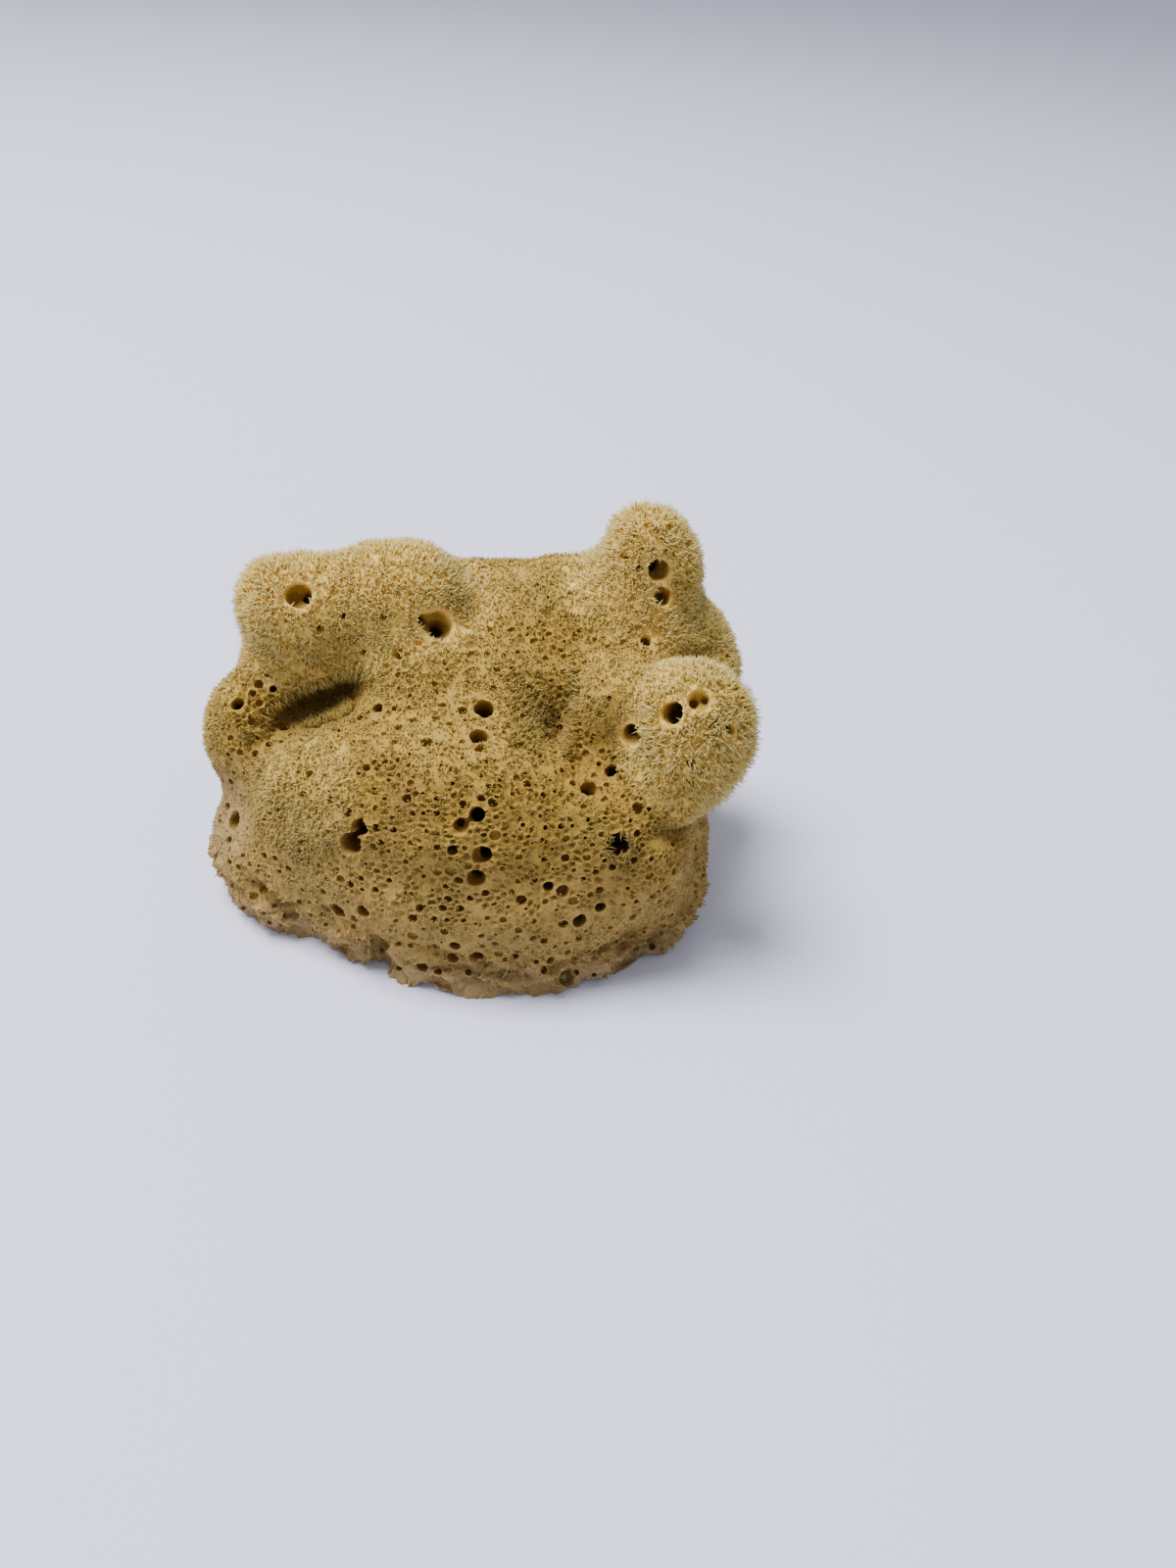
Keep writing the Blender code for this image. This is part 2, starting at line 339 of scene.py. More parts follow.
def dual_mesh_tree():
    """A one-node tree of geometry nodes that turns points into faces."""
    tree = bpy.data.node_groups.new("cells", "GeometryNodeTree")
    for way in ("INPUT", "OUTPUT"):
        tree.interface.new_socket("Geometry", in_out=way, socket_type="NodeSocketGeometry")
    start = tree.nodes.new("NodeGroupInput")
    dual = tree.nodes.new("GeometryNodeDualMesh")
    end = tree.nodes.new("NodeGroupOutput")
    tree.links.new(start.outputs[0], dual.inputs[0])
    tree.links.new(dual.outputs[0], end.inputs[0])
    return tree


pick(form)
bpy.ops.object.duplicate()
skin = bpy.context.object
skin.name = "skin"
bpy.ops.object.mode_set(mode="EDIT")
bpy.ops.mesh.select_all(action="SELECT")
bpy.ops.mesh.quads_convert_to_tris()
bpy.ops.transform.vertex_random(offset=NET_SHAKE, seed=NET_SEED)
bpy.ops.object.mode_set(mode="OBJECT")
apply_modifier(skin, "DECIMATE", ratio=NET_TRIANGLES / triangles_of(skin))
apply_modifier(skin, "SMOOTH", factor=0.5, iterations=2)
apply_modifier(skin, "NODES", node_group=dual_mesh_tree())
apply_modifier(skin, "SMOOTH", factor=0.4, iterations=1)
set_on_floor(skin)
print("the net has", len(skin.data.polygons), "cells and", len(skin.data.vertices), "junctions")

# %% [markdown]
# ## The ragged rim
#
# Along the cut the skin is torn into ledges and folds. Ridged noise has sharp crests and round
# valleys, as torn sponge has, so the rim's points are moved in and out by it. It fades out above the
# rim. A gentler noise roughens the rest. Then each cell is poked, so that its middle sinks a little.

# %% Ledges along the rim, an uneven skin above it, and a dimple in each cell
LEDGE_SIZE = Vector((10, 10, 4.5)) * MM
LEDGE_HEIGHT = 3.6 * MM
LEDGE_MIDDLE = 1.3
# How sharp the ridges are, the gap between their layers, how many layers, and their offset and gain.
LEDGE_RIDGES = (0.9, 2.2, 3, 1.0, 2.0)
LEDGES_TO = (10, 22)
UNEVEN_SIZE = 5 * MM
UNEVEN_HEIGHT = 0.6 * MM
SWELL_SIZE = 15 * MM
SWELL_HEIGHT = 1.3 * MM
CELL_DEPTH = 1.15 * MM
CELL_DEPTH_LOW = 0.65 * MM
CELL_DEPTH_WORN = 0.45 * MM
CELL_LOW = (18, 42)
CELL_UNDER_FUR = 0.65
UNDER_FUR = (0.7, 1.1)
CELL_SPREAD = (0.3, 1.5)
FLAT_CUT = 0.3 * MM
ON_FLOOR = 0.1 * MM
FOOT_SHARE = 0.6
CELL_SEED = 8


def roughen(piece):
    places = points_of(piece)
    outward = normals_of(piece)
    ledges = 1 - smooth_step(places[:, 2] / MM, *LEDGES_TO)
    moved = np.empty(len(places))
    for i, place in enumerate(places):
        spot = Vector(place)
        stretched = Vector([part / size for part, size in zip(spot, LEDGE_SIZE)])
        ridge = noise.ridged_multi_fractal(stretched, *LEDGE_RIDGES)
        uneven = UNEVEN_HEIGHT * noise.noise(spot / UNEVEN_SIZE)
        swell = SWELL_HEIGHT * noise.noise(spot / SWELL_SIZE)
        moved[i] = ledges[i] * LEDGE_HEIGHT * (ridge - LEDGE_MIDDLE) + (uneven + swell)
    moved[places[:, 2] < ON_FLOOR] *= FOOT_SHARE
    places += outward * moved[:, None]
    places[:, 2] = np.maximum(places[:, 2], 0.0)
    set_points(piece, places)


roughen(skin)
junctions = points_of(skin)
junction_normals = normals_of(skin)
cells = [tuple(face.vertices) for face in skin.data.polygons]
net_tree = BVHTree.FromPolygons(junctions.tolist(), cells)
pick_parts(skin, FACES, np.array([face.center.z > FLAT_CUT for face in skin.data.polygons]))
bpy.ops.mesh.poke()
bpy.ops.object.mode_set(mode="OBJECT")


def sink_middles(piece, first):
    """Moves the middle of each cell inwards, each by its own depth. The middles come after the junctions."""
    places = points_of(piece)
    middle = places[first:]
    depth = CELL_DEPTH_LOW + (CELL_DEPTH - CELL_DEPTH_LOW) * smooth_step(middle[:, 2] / MM, *CELL_LOW)
    depth *= 1 - (1 - CELL_UNDER_FUR) * smooth_step(fur_at(middle), *UNDER_FUR)
    depth += (CELL_DEPTH_WORN - depth) * worn_at(middle)
    depth *= np.random.default_rng(CELL_SEED).uniform(*CELL_SPREAD, len(middle))
    places[first:] -= normals_of(piece)[first:] * depth[:, None]
    set_points(piece, places)


sink_middles(skin, len(junctions))
middles = points_of(skin)[len(junctions):]
print("the dimpled skin has", triangles_of(skin), "triangles")

# %% [markdown]
# ## The mouths
#
# An osculum is a crisp round mouth with smooth ochre walls, and narrower channels open from its
# floor. The channels are what make it look deep. All the hollows are modelled as solids: a tapered
# cone with a dished end for the mouth, and more of them for the channels below it. A voxel remesh
# joins them, noise makes them uneven, and one boolean cuts them out of the skin. The skin is first
# drawn up into a low rim.

# %% The mouths: place, width and depth, all in millimetres
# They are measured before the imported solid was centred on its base, so this shift is added to each.
CENTRING = np.array((4.72, -12.94, 0))
MOUTHS = {
    "crown left eye": ((-50, 15, 87), 8.4, 3.4),
    "crown middle eye": ((-12.6, 17, 80), 9.4, 2.2),
    "crown middle side": ((-17.4, 17, 80.4), 5.0, 2.4),
    "centre upper": ((1, -1, 68), 6.0, 8),
    "centre lower": ((1, -10, 65), 6.0, 4),
    "horn upper": ((44, 24, 97), 6.6, 4),
    "horn lower": ((46, 22, 91), 6.2, 3),
    "horn foot": ((42, 15, 82), 3.6, 4),
    "right lobe dark": ((48, -14, 79), 6.6, 10),
    "right lobe pale": ((55, -14, 84), 6.8, 2.6),
    "right lobe edge": ((39, -10, 68), 7.0, 2.4),
    "right chain middle": ((35, -13, 59), 3.8, 8),
    "right chain low": ((30, -18, 57), 5.0, 2.8),
    "right lobe side": ((64, -16, 76), 4.2, 5),
    "belly top": ((3, -32, 56), 4.4, 9),
    "belly top shelf": ((-0.8, -34, 53.4), 5.0, 2.2),
    "belly middle": ((5.2, -37, 46), 6.0, 2.4),
    "belly middle low": ((4, -38, 39), 6.0, 2.6),
    "belly middle left": ((-2.4, -37, 47.4), 3.6, 2.0),
    "cheek upper": ((-27, -32, 48), 5.0, 8),
    "cheek lower": ((-30, -33, 42), 6.8, 5),
    "skirt left dark": ((-34, -36, 20), 5.4, 7),
    "skirt left pale": ((-26, -38, 24), 4.6, 2.0),
    "spiky pit": ((39, -30, 48), 7.0, 6),
    "skirt right low": ((31, -37, 27), 4.4, 8),
    "skirt right high": ((36, -35, 30), 3.6, 6),
    "rim middle": ((5, -43, 15), 5.2, 7),
    "rim middle left": ((-1, -43, 19), 3.6, 4),
    "shoulder left": ((-67, 6, 56), 4.4, 4),
    "shoulder upper": ((-62.3, 11.4, 59.3), 3.4, 2.4),
    "shoulder inner": ((-61.2, 7.6, 55.9), 2.8, 2.0),
    "shoulder groove side": ((-58.3, 11.1, 58.3), 2.4, 3),
    "shoulder low": ((-62.3, 3.0, 52.7), 3.0, 2.4),
    "rim fold": ((-20.3, -37.7, 13.1), 5.0, 2.6),
    "rim front": ((-10, -41, 9), 4.2, 3),
    "belly right low": ((22, -34.5, 36.4), 3.6, 3),
    "groove end": ((-28, -1, 65), 3.8, 3),
    "foot left": ((-69, -9, 28), 6.0, 3),
    "horn top": ((40, 46, 108), 5.6, 8),
    "crown top": ((-31, 40, 95), 6.0, 8),
    "crown left back": ((-62, 40, 78), 5.0, 7),
    "saddle back": ((10, 62, 74), 6.2, 8),
    "back left high": ((-42, 70, 54), 7.2, 8),
    "back left low": ((-50, 64, 30), 5.2, 7),
    "back middle": ((-12, 72, 46), 6.0, 8),
    "back middle low": ((-6, 70, 36), 4.6, 6),
    "back right high": ((26, 70, 50), 7.6, 8),
    "back right low": ((42, 66, 28), 5.0, 7),
    "flank back": ((60, 56, 62), 5.8, 8),
    "flank right": ((72, 24, 46), 5.6, 8),
    "lobe right outer": ((72, -2, 60), 5.0, 6),
    "side left": ((-80, 20, 42), 5.6, 7),
    "side left low": ((-78, 26, 20), 4.6, 6),
}

# The channels below some mouths: how far right of the middle and above it, then width and depth.
CHANNELS = {
    "crown left eye": ((2.4, 0.2, 3.2, 6), (-1.0, 0.4, 4.4, 1.6)),
    "shoulder upper": (),
    "shoulder inner": (),
    "shoulder low": (),
    "crown middle eye": ((0.6, -0.4, 5.6, 3), (1.0, -0.8, 3.6, 9)),
    "centre lower": ((-0.6, 1.2, 3.2, 7), (1.2, 0.8, 2.0, 5)),
    "horn upper": ((-1.2, 0.8, 3.6, 7),),
    "horn lower": ((0.6, -0.8, 3.6, 3),),
    "right lobe pale": ((-1.2, -0.3, 2.8, 4), (1.6, 0.8, 2.2, 3)),
    "right lobe edge": ((-1.5, 0.4, 3.6, 8), (1.5, -0.3, 3.2, 2.2)),
    "right chain low": ((-1.0, 0.3, 2.4, 4), (1.0, -0.4, 1.8, 3)),
    "belly top shelf": ((-0.6, 0.4, 2.4, 4),),
    "belly middle": ((1.2, -0.3, 3.8, 8),),
    "belly middle low": ((0.4, 0.2, 3.2, 5),),
    "cheek lower": ((0.2, 1.0, 3.6, 8), (-1.4, -1.0, 2.0, 3)),
    "spiky pit": ((0.4, 0.6, 4.4, 4),),
}
DEFAULT_CHANNELS = ((-0.7, 0.4, 2.6, 5), (0.9, -0.6, 1.8, 3))

# %% Finding each mouth on the skin
# Mouths on the side that is seen are turned a little towards the camera, where they look round.
AIM_REACH = 9 * MM
SEEN_FROM = 0.2
FACING = 0.35
form_faces = [tuple(face.vertices) for face in form.data.polygons]
form_tree = BVHTree.FromPolygons(points_of(form).tolist(), form_faces)


def look_out(aim):
    """The point of the form nearest to an aim, and the direction that the skin faces round about it."""
    place = form_tree.find_nearest(aim)[0]
    outward = Vector()
    for _, normal, _, away in form_tree.find_nearest_range(aim, AIM_REACH):
        outward += normal * (AIM_REACH - away)
    return place, outward.normalized()


mouths = {}
for name, (aim, width, depth) in MOUTHS.items():
    place, outward = look_out(Vector((np.array(aim) + CENTRING) * MM))
    to_camera = (CAMERA_PLACE - place).normalized()
    if outward.dot(to_camera) > SEEN_FROM:
        outward = (outward + to_camera * FACING).normalized()
    mouths[name] = (place, outward, width * MM, depth * MM)
print(len(mouths), "mouths")

# %% Modelling the hollows and cutting them out
MOUTH_SIDES = 20
CHANNEL_SIDES = 12
PROUD = 2.5 * MM
FLOOR_SHARE = 0.78
DISH = 0.35
DISH_RINGS = 8
CHANNEL_START = 0.8
CHANNEL_EXTRA = 0.2
HOLLOW_VOXEL = 0.5 * MM
HOLLOW_VOXEL_AGAIN = HOLLOW_VOXEL * 1.1
HOLLOW_TRIANGLES = 24000
UNEVEN_WALL = 1.1 * MM
UNEVEN_WALL_SIZE = 2.2 * MM
RIM_REACH = 1.6 * MM
RIM_HEIGHT = 0.45 * MM


def add_plug(place, outward, top_width, floor_width, proud, depth, sides):
    """Adds a tapered round solid that runs from outside the skin down to a depth, with a dished floor."""
    turn = outward.to_track_quat("Z", "Y").to_euler()
    middle = place + outward * (proud - depth) / 2
    bpy.ops.mesh.primitive_cone_add(
        vertices=sides, radius1=floor_width / 2, radius2=top_width / 2, depth=depth + proud,
        location=middle, rotation=turn)
    cone = bpy.context.object
    bpy.ops.mesh.primitive_uv_sphere_add(
        segments=sides, ring_count=DISH_RINGS, radius=floor_width / 2, location=place - outward * depth,
        rotation=turn, scale=(1, 1, DISH))
    return cone, bpy.context.object


def model_hollows():
    """All the mouths and channels as one solid."""
    plugs = []
    for name, (place, outward, width, depth) in mouths.items():
        turn = outward.to_track_quat("Z", "Y")
        right = turn @ Vector((1, 0, 0))
        above = turn @ Vector((0, 1, 0))
        plugs += add_plug(place, outward, width, width * FLOOR_SHARE, PROUD, depth, MOUTH_SIDES)
        for aside, up, channel_width, channel_depth in CHANNELS.get(name, DEFAULT_CHANNELS):
            start = place + (right * aside + above * up) * MM - outward * (depth * CHANNEL_START)
            plugs += add_plug(
                start, outward, channel_width * MM, channel_width * MM * FLOOR_SHARE, 0.0,
                channel_depth * MM + depth * CHANNEL_EXTRA, CHANNEL_SIDES)
    bpy.ops.object.select_all(action="DESELECT")
    for plug in plugs:
        plug.select_set(True)
    bpy.context.view_layer.objects.active = plugs[0]
    bpy.ops.object.join()
    bpy.ops.object.transform_apply(location=True, rotation=True, scale=True)
    return bpy.context.object


def draw_up_rims(piece):
    """Lifts the skin into a low rim round each mouth."""
    places = points_of(piece)
    outward = normals_of(piece)
    for place, _, width, _ in mouths.values():
        away = np.linalg.norm(places - np.array(place), axis=1) - width / 2
        lift = np.clip(1 - np.abs(away) / RIM_REACH, 0, 1) * RIM_HEIGHT
        places += outward * lift[:, None]
    set_points(piece, places)


hollows = model_hollows()
hollows.name = "hollows"
remesh(hollows, HOLLOW_VOXEL)
wall_noise = bpy.data.textures.new("wall noise", "CLOUDS")
wall_noise.noise_scale = UNEVEN_WALL_SIZE
apply_modifier(hollows, "DISPLACE", strength=UNEVEN_WALL, texture=wall_noise, texture_coords="LOCAL")
remesh(hollows, HOLLOW_VOXEL_AGAIN, smoothings=1)
apply_modifier(hollows, "DECIMATE", ratio=HOLLOW_TRIANGLES / triangles_of(hollows))
draw_up_rims(skin)
apply_modifier(skin, "BOOLEAN", operation="DIFFERENCE", object=hollows, solver="EXACT")
pick(skin)
bpy.ops.object.mode_set(mode="EDIT")
bpy.ops.mesh.select_all(action="SELECT")
bpy.ops.mesh.quads_convert_to_tris()
bpy.ops.object.mode_set(mode="OBJECT")
print("the skin has", triangles_of(skin), "triangles")

# %% [markdown]
# ## The pores
#
# Some cells are true pores, dark and deep. On the porous front they are close together, and a few are
# as wide as three cells. A chosen cell loses its middle point, and a wide pore loses the walls between
# its three cells as well. Each pore is then rounded and inset twice: once for a thin raised lip, and
# once to press its floor in. Pores come after the mouths, because they are so deep that some meet,
# and a boolean is safest on a skin that doesn't run through itself.

# %% Choosing the pores
PORE_SEED = 11
PORE_GAP_FRONT = 3.0 * MM
PORE_GAP_ELSEWHERE = 3.8 * MM
WIDE_GAP_FRONT = 11 * MM
WIDE_GAP_ELSEWHERE = 17 * MM
WIDE_REACH = 2.8 * MM
CLEAR_OF_FLOOR = 3 * MM
CLEAR_OF_MOUTH = 1.3 * MM
UNDER_MOUTH = 2 * MM
DEEP_SHARE = (0.2, 0.55)
VELVET = (1.0, 1.4)
CELLS_IN_WIDE = 3


def tree_of(places):
    tree = KDTree(len(places))
    for i, place in enumerate(places):
        tree.insert(place, i)
    tree.balance()
    return tree


def spread_out(places, gaps, taken):
    """Picks places in a random order, each at least its own gap from those picked before it."""
    tree = tree_of(places)
    free = places[:, 2] > CLEAR_OF_FLOOR
    for place, gap in taken:
        for _, near, _ in tree.find_range(place, gap):
            free[near] = False
    picked = np.zeros(len(places), bool)
    for i in np.random.default_rng(PORE_SEED).permutation(len(places)):
        if free[i]:
            picked[i] = True
            for _, near, _ in tree.find_range(places[i], gaps[i]):
                free[near] = False
    return picked


def gaps_at(places, front_gap, other_gap):
    return other_gap + (front_gap - other_gap) * front_at(places)


taken = []
for place, outward, width, _ in mouths.values():
    taken.append((place, width / 2 + CLEAR_OF_MOUTH))
    taken.append((place - outward * UNDER_MOUTH, width / 2 + CLEAR_OF_MOUTH))
wide = junctions[spread_out(junctions, gaps_at(junctions, WIDE_GAP_FRONT, WIDE_GAP_ELSEWHERE), taken)]
taken += [(place, WIDE_REACH) for place in wide]
small = middles[spread_out(middles, gaps_at(middles, PORE_GAP_FRONT, PORE_GAP_ELSEWHERE), taken)]
coin = np.random.default_rng(PORE_SEED + 1).random(len(small))
low_share, front_share = DEEP_SHARE
velvet = smooth_step(fur_at(small), *VELVET)
is_deep = coin < low_share + (front_share - low_share) * front_at(small) * (1 - velvet)
deep = small[is_deep]
fine = small[~is_deep]
print(len(wide), "wide,", len(deep), "deep and", len(fine), "fine pores")

# %% Opening the chosen cells
SAME_POINT = 0.02 * MM


def numbers_at(piece, places):
    """The number of the point at each place, for the places where there still is one."""
    tree = tree_of(points_of(piece))
    found = [tree.find(place) for place in places]
    return [i for _, i, away in found if away < SAME_POINT]


def open_cells(piece, places):
    """Merges the triangles round each place into one many-sided face."""
    pick_parts(piece, POINTS, numbers_at(piece, places))
    bpy.ops.mesh.dissolve_verts()
    bpy.ops.object.mode_set(mode="OBJECT")


open_cells(skin, wide)
middle_tree = tree_of(middles)
wide_middles = [middles[i] for place in wide for _, i, _ in middle_tree.find_n(place, CELLS_IN_WIDE)]
open_cells(skin, np.array(wide_middles))
open_cells(skin, small)

# %% Which open cells are fit to be pores
# A cell that a mouth has cut into can be long or bent back on itself, so it stays as it is.
ROUNDING = 0.9
NARROWEST = 0.5 * MM
LONGEST_TO_SHORTEST = 2.6
WIDE, DEEP, FINE = range(3)


def open_faces(piece):
    """The numbers of the open cells, which are the ones with more corners than a triangle."""
    faces = (face for face in piece.data.polygons if len(face.vertices) > 3)
    return [face.index for face in faces if face.center.z > FLAT_CUT]


def spokes_of(face, places):
    """Lines from the middle of a face to its corners, and how long they are along the face."""
    spokes = places[list(face.vertices)] - np.array(face.center)
    flat = spokes - np.outer(spokes @ np.array(face.normal), face.normal)
    return spokes, flat, np.linalg.norm(flat, axis=1)


kind_tree = tree_of(np.concatenate((wide, deep, fine)))
kind_there = np.repeat((WIDE, DEEP, FINE), (len(wide), len(deep), len(fine)))
kinds = np.full(len(skin.data.polygons), -1)
places = points_of(skin)
for i in open_faces(skin):
    face = skin.data.polygons[i]
    _, flat, reach = spokes_of(face, places)
    turns = np.cross(flat, np.roll(flat, -1, axis=0)) @ np.array(face.normal)
    goes_round = turns.min() > 0
    if goes_round and reach.min() > NARROWEST and reach.max() < reach.min() * LONGEST_TO_SHORTEST:
        kinds[i] = kind_there[kind_tree.find(face.center)[1]]
skin.data.attributes.new("kind", "INT", "FACE").data.foreach_set("value", kinds)
print([int((kinds == kind).sum()) for kind in (WIDE, DEEP, FINE)], "wide, deep and fine pores")

# %% Pressing the pores in
# Lip width, how much the pore narrows on its way in, and its depth, in millimetres. What went the
# wrong way is mirrored back, and what the boolean left hanging is taken off.
PORES = {WIDE: (0.25, 0.45, 3.0), DEEP: (0.20, 0.25, 2.6), FINE: (0.30, 0.22, 1.1)}
LIP_RISE = 0.08 * MM
TOO_PROUD = 1.0 * MM
NO_SIZE = 0.001 * MM
SMOOTH_TO = math.radians(70)


def faces_of_kind(piece, *wanted):
    kinds = np.empty(len(piece.data.polygons), int)
    piece.data.attributes["kind"].data.foreach_get("value", kinds)
    return np.isin(kinds, wanted)


def round_off(piece, chosen):
    """Moves the corners of each chosen cell most of the way to a circle."""
    places = points_of(piece)
    for i in np.flatnonzero(chosen):
        face = piece.data.polygons[i]
        spokes, flat, reach = spokes_of(face, places)
        circle = flat / reach[:, None] * reach.mean()
        places[list(face.vertices)] = np.array(face.center) + spokes * (1 - ROUNDING) + circle * ROUNDING
    set_points(piece, places)


def press_in(piece, chosen, lip, narrowing, depth):
    """Gives each chosen cell a thin lip and presses its middle in."""
    pick_parts(piece, FACES, chosen)
    for thickness, rise in ((lip * MM, LIP_RISE), (narrowing * MM, -depth * MM)):
        bpy.ops.mesh.inset(thickness=thickness, depth=rise, use_individual=True, use_even_offset=False)
    bpy.ops.object.mode_set(mode="OBJECT")


def pull_in(piece):
    """Mirrors points to the inside where a pore went outwards, as a few do."""
    places = points_of(piece)
    count = 0
    for i, place in enumerate(places):
        near, outward, _, away = net_tree.find_nearest(place)
        if away > TOO_PROUD and (Vector(place) - near).dot(outward) > 0:
            places[i] = 2 * np.array(near) - place
            count += 1
    set_points(piece, places)
    print(count, "points pulled in")


def stray_faces(piece):
    """True for triangles that hang on by one edge only, as a boolean can leave behind."""
    edges = np.empty(len(piece.data.loops), int)
    piece.data.loops.foreach_get("edge_index", edges)
    lonely = np.bincount(edges)[edges] == 1
    return lonely.reshape(-1, 3).sum(axis=1) > 1


pick_parts(skin, FACES, faces_of_kind(skin, WIDE, DEEP))
bpy.ops.mesh.subdivide(number_cuts=1, ngon=True, quadcorner="INNERVERT")
bpy.ops.object.mode_set(mode="OBJECT")
round_off(skin, faces_of_kind(skin, WIDE, DEEP, FINE))
for kind, pore in PORES.items():
    press_in(skin, faces_of_kind(skin, kind), *pore)
pull_in(skin)
pick(skin)
bpy.ops.object.mode_set(mode="EDIT")
bpy.ops.mesh.select_all(action="SELECT")
bpy.ops.mesh.dissolve_degenerate(threshold=NO_SIZE)
bpy.ops.mesh.quads_convert_to_tris()
bpy.ops.object.mode_set(mode="OBJECT")
strays = stray_faces(skin)
print(int(strays.sum()), "stray faces go")
pick_parts(skin, FACES, strays)
bpy.ops.mesh.delete(type="FACE")
bpy.ops.object.mode_set(mode="OBJECT")
skin.data.attributes.remove(skin.data.attributes["kind"])
bpy.ops.object.shade_smooth_by_angle(angle=SMOOTH_TO)
print("the skin has", triangles_of(skin), "triangles")

# %% [markdown]
# ## What the finish has to know about the skin
#
# Inside the mouths and pores the sponge is ochre, painted darker the deeper it lies as painted shade,
# and at the rim it is worn pink and brown. The bottoms of the folds are painted darker too, as painted
# shade. The finish can't ask where the net was, so each point keeps it as an attribute: how deep it
# lies under the net, how worn its place is, how long the fur is there, and how far down in a fold it is.

# %% Attributes of the skin
DEEPEST = 8.0 * MM
FUR_TONES = (0.6, 1.9)
SHADE_DEPTH = 0.6
NEAR_FLOOR = 0.5 * MM


# Where the finish paints shade in the bottoms of the folds.
def fold_shade_at(places):
    """1 in the bottom of a fold and 0 away from it."""
    share = np.zeros(len(places))
    for fold in FOLDS.values():
        way_in = np.array(Vector(fold[3]).normalized())
        share = np.maximum(share, fold_parts(places - way_in * fold[4] * MM * SHADE_DEPTH, fold)[1])
    return share


def store_places(piece, places, sunk):
    """Stores the fields that the finish reads. Places are where the fields are asked for."""
    add_attribute(piece, "sunk", sunk)
    add_attribute(piece, "worn", worn_at(places))
    add_attribute(piece, "furred", smooth_step(fur_at(places), *FUR_TONES))
    add_attribute(piece, "fold", fold_shade_at(places))


# The finish paints shade by this depth: the deeper under the net, the darker.
def sunk_under_net(places):
    """0 on the net of cells and above it, and 1 from the deepest that counts."""
    depth = np.zeros(len(places))
    for i, place in enumerate(places):
        near, outward, _, away = net_tree.find_nearest(place)
        inside = (Vector(place) - near).dot(outward) < 0
        depth[i] = away if inside and place[2] > NEAR_FLOOR else 0.0
    return np.clip(depth / DEEPEST, 0, 1)


skin_places = points_of(skin)
store_places(skin, skin_places, sunk_under_net(skin_places))

# %% [markdown]
# ## The tufts
#
# Each tuft is a wisp of fibre: wide where it leaves the skin, bent, and pointed. One is modelled by
# hand, from a three-sided prism: its top is lowered to a knee, drawn thinner and leant over, and from
# there it is drawn out to a point. Then it is copied to the junctions of the net, where the real
# fibres rise, with its length from the fur field. All the copies of one side of the sponge are one
# mesh. A tuft has ten triangles, so there can be many.

# %% One tuft, one unit tall
# The height of the knee, the width left there, and how far it leans over.
TUFT_KNEE = (0.56, 0.74, 0.10)
TUFT_TIP_LEAN = 0.40
TUFT_SIDES = 3

bpy.ops.mesh.primitive_cone_add(
    vertices=TUFT_SIDES, radius1=0.5, radius2=0.5, depth=1, location=(0, 0, 0.5))
tuft = bpy.context.object
bpy.ops.object.transform_apply(location=True)
pick_parts(tuft, FACES, np.array([face.normal.z > 0.5 for face in tuft.data.polygons]))
height, width, lean = TUFT_KNEE
bpy.ops.transform.translate(value=(lean, 0, height - 1))
bpy.ops.transform.resize(value=(width,) * 3)
bpy.ops.mesh.extrude_region_move(
    TRANSFORM_OT_translate={"value": (TUFT_TIP_LEAN - lean, 0, 1 - height)})
bpy.ops.mesh.merge(type="CENTER")
bpy.ops.mesh.select_all(action="SELECT")
bpy.ops.mesh.quads_convert_to_tris()
bpy.ops.mesh.normals_make_consistent(inside=False)
bpy.ops.object.mode_set(mode="OBJECT")
tuft_points = points_of(tuft)
tuft_faces = np.array([tuple(face.vertices) for face in tuft.data.polygons])
tuft_bend = np.interp(tuft_points[:, 2], (0, height, 1), (0, lean, TUFT_TIP_LEAN))
bpy.data.objects.remove(tuft)
print("a tuft has", len(tuft_points), "points and", len(tuft_faces), "triangles")

# %% Where the tufts stand
# Each round goes once over all the junctions, and plants a tuft on this share of them where fur is full.
TUFT_SEED = 5
ROUND_SHARES = (1.0, 0.95, 0.9, 0.85, 0.8)
FUR_NONE = 0.2
FUR_FULL = 1.4
THINNING = 0.6
WORN_BARE = 0.75
SCATTER = 0.75 * MM
LEAN = 0.45
SUNK_ROOT = 0.45 * MM
TUFT_WIDTH = (0.36 * MM, 0.64 * MM)
LENGTH_SPREAD = (0.5, 1.3)
TUFTS_FROM = 1.2 * MM
MOUTH_FREE = 0.1 * MM
WIDE_FREE = 1.3 * MM
FRINGE_REACH = 4.0
FRINGE_LENGTH = 2.6
LIP_FROM = 0.55
LIP_TO = 1.15
LIP_LEAN = 0.6
SPIKY_LEAN = 0.8
SPIKY_REACH = 2.0 * MM

chance = np.random.default_rng(TUFT_SEED)


def across(outward, count):
    """For each direction, a random direction square to it."""
    draw = chance.normal(size=(count, 3))
    draw -= outward * np.sum(draw * outward, axis=1)[:, None]
    return draw / np.linalg.norm(draw, axis=1)[:, None]


def in_a_mouth(places):
    """True for places that a mouth has taken away."""
    taken = np.zeros(len(places), bool)
    for place, outward, width, _ in mouths.values():
        spokes = places - np.array(place)
        along = spokes @ np.array(outward)
        away = np.linalg.norm(spokes - np.outer(along, outward), axis=1)
        taken |= (away < width / 2 + MOUTH_FREE) & (np.abs(along) < width)
    return taken


